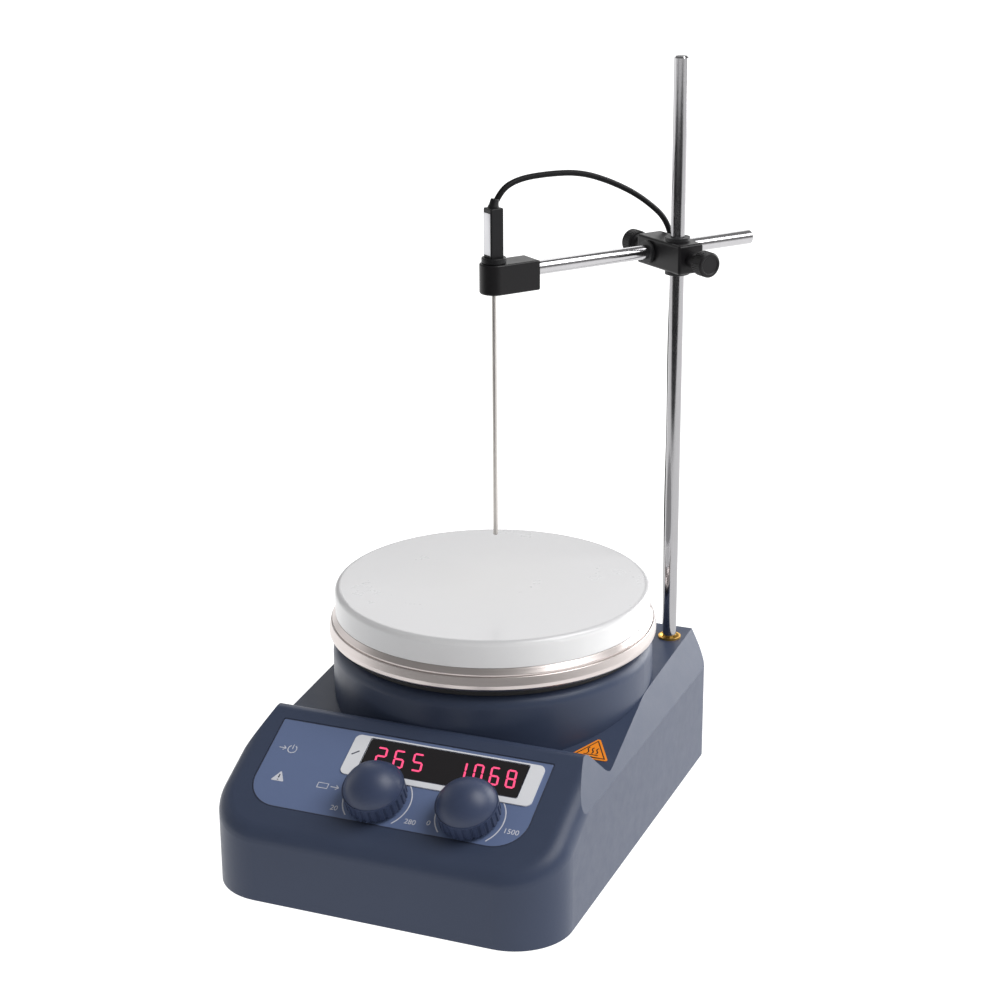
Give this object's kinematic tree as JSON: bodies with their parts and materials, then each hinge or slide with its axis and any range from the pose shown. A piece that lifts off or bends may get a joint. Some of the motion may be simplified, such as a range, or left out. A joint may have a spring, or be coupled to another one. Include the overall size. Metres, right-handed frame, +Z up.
{
  "type": "magnetic hotplate stirrer",
  "caption": "Bench magnetic stirrer with a round heated plate, sloping control panel, support rod, boss head and temperature sensor.",
  "frame": {"origin": "on the bench, straight under the axis of the heated plate", "axes": "+X to the operator's right, +Y to the back, +Z up; the sloping control panel faces -Y"},
  "size_m": [0.1588, 0.2722, 0.318],
  "materials": {
    "housing_paint": "satin slate blue paint",
    "base_black": "matt black paint",
    "foot_rubber": "matt",
    "screw_steel": "plain",
    "bracket_steel": "zinc plated",
    "collar_black": "heat proof, matt",
    "rim_steel": "turned and brushed",
    "insulation": "pressed mineral fibre",
    "heater_metal": "heat tinted",
    "plate_alloy": "machined",
    "cover_white": "white ceramic enamel",
    "part_black": "moulded",
    "part_white": "moulded nylon",
    "motor_grey": "grey",
    "magnet_grey": "nickel plated",
    "label_blue": "printed film, slate blue",
    "frame_silver": "silver grey film",
    "window_smoke": "smoked, glossy",
    "knob_blue": "slate blue, satin",
    "board_green": "circuit board",
    "rocker_black": "semi gloss",
    "cord_grip": "black, satin",
    "label_orange": "printed film",
    "rod_steel": "polished stainless",
    "boss_black": "black anodised look",
    "screw_black": "knurled",
    "probe_steel": "polished stainless",
    "cord_grey": "silicone, satin",
    "brass": "plain"
  },
  "bodies": {
    "base": {"housing_shell": "housing_paint", "base_plate": "base_black", "feet": "foot_rubber", "base_screws": "screw_steel", "pedestal": "housing_paint", "chassis_disc": "bracket_steel", "plate_posts": "screw_steel", "heat_collar": "collar_black", "rim_pan": "rim_steel", "insulation_pad": "insulation", "heating_element": "heater_metal", "heating_plate": "plate_alloy", "plate_cover": "cover_white", "plate_sensor": "screw_steel", "safety_thermostat": "part_black", "motor_body": "motor_grey", "panel_label": "label_blue", "display_frame": "frame_silver", "display_window": "window_smoke", "led_module": "part_black", "encoder_bodies": "part_black", "encoder_nuts": "brass", "control_board": "board_green", "power_board": "board_green", "board_legs": "part_white", "power_parts": "part_black", "rocker_bezel": "part_black", "mains_inlet": "part_black", "inlet_pins": "brass", "fuse_holder": "part_black", "sensor_socket": "part_black", "cord_plug": "cord_grip", "rod_bushing": "brass", "hot_label": "label_orange", "support_rod": "rod_steel", "cord_coil": "cord_grey", "cord_leads": "cord_grey"},
    "heat_push": {"heat_plunger": "part_black"},
    "heat_turn": {"heat_stem": "plate_alloy", "heat_knob": "knob_blue"},
    "speed_push": {"speed_plunger": "part_black"},
    "speed_turn": {"speed_stem": "plate_alloy", "speed_knob": "knob_blue"},
    "power_rocker": {"rocker": "rocker_black"},
    "drive": {"motor_shaft": "screw_steel", "magnet_carrier": "plate_alloy", "drive_magnets": "magnet_grey"},
    "carriage": {"rod_liner": "part_black", "cord_drop": "cord_grey"},
    "boss": {"boss_head": "boss_black"},
    "rod_lock": {"rod_lock_screw": "screw_black"},
    "arm_lock": {"arm_lock_screw": "screw_black"},
    "arm_carrier": {"arm_liner": "part_black", "cord_roll": "cord_grey"},
    "arm": {"cross_arm": "rod_steel", "sensor_holder": "boss_black", "cord_reach": "cord_grey"},
    "sensor": {"sensor_handle": "cord_grip", "sensor_probe": "probe_steel", "cord_lift": "cord_grey"}
  },
  "joints": [
    {"name": "heat_knob_push", "type": "slide", "parent": "base", "child": "heat_push", "axis": [0, 0.4462, -0.8949], "range_m": [0, 0.0008], "stiffness_N_per_m": 1500, "springref_m": -0.0005},
    {"name": "heat_knob_turn", "type": "hinge", "parent": "heat_push", "child": "heat_turn", "pos_m": [-0.0068, -0.10473, 0.0448], "axis": [0, -0.4462, 0.8949], "range_deg": [-16, 264]},
    {"name": "speed_knob_push", "type": "slide", "parent": "base", "child": "speed_push", "axis": [0, 0.4462, -0.8949], "range_m": [0, 0.0008], "stiffness_N_per_m": 1500, "springref_m": -0.0005},
    {"name": "speed_knob_turn", "type": "hinge", "parent": "speed_push", "child": "speed_turn", "pos_m": [0.0331, -0.10473, 0.0448], "axis": [0, -0.4462, 0.8949], "range_deg": [-81, 199]},
    {"name": "power_rocker_tilt", "type": "hinge", "parent": "base", "child": "power_rocker", "pos_m": [-0.0731, -0.082, 0.025], "axis": [0, 0, 1], "range_deg": [-14, 0]},
    {"name": "drive_rotor_spin", "type": "hinge", "parent": "base", "child": "drive", "pos_m": [0, 0, 0.06], "axis": [0, 0, 1], "continuous": true},
    {"name": "boss_height", "type": "slide", "parent": "base", "child": "carriage", "axis": [0, 0, 1], "range_m": [-0.018, 0.07], "deforming": ["cord_drop"]},
    {"name": "boss_swivel", "type": "hinge", "parent": "carriage", "child": "boss", "pos_m": [0.061, 0.059, 0.2349], "axis": [0, 0, 1], "range_deg": [-40, 40]},
    {"name": "rod_lock_turn", "type": "hinge", "parent": "boss", "child": "rod_lock", "pos_m": [0.0747, 0.04894, 0.2349], "axis": [-0.8059, 0.592, 0], "range_deg": [-360, 360]},
    {"name": "arm_lock_turn", "type": "hinge", "parent": "boss", "child": "arm_lock", "pos_m": [0.03682, 0.07676, 0.2349], "axis": [-0.8059, 0.592, 0], "range_deg": [-360, 360]},
    {"name": "arm_roll", "type": "hinge", "parent": "boss", "child": "arm_carrier", "pos_m": [0.05101, 0.06634, 0.2349], "axis": [0.592, 0.8059, 0], "range_deg": [-40, 40], "deforming": ["cord_roll"]},
    {"name": "arm_reach", "type": "slide", "parent": "arm_carrier", "child": "arm", "axis": [0.592, 0.8059, 0], "range_m": [-0.025, 0.03], "deforming": ["cord_reach"]},
    {"name": "sensor_lift", "type": "slide", "parent": "arm", "child": "sensor", "axis": [0, 0, 1], "range_m": [0, 0.03], "deforming": ["cord_lift"]}
  ]
}
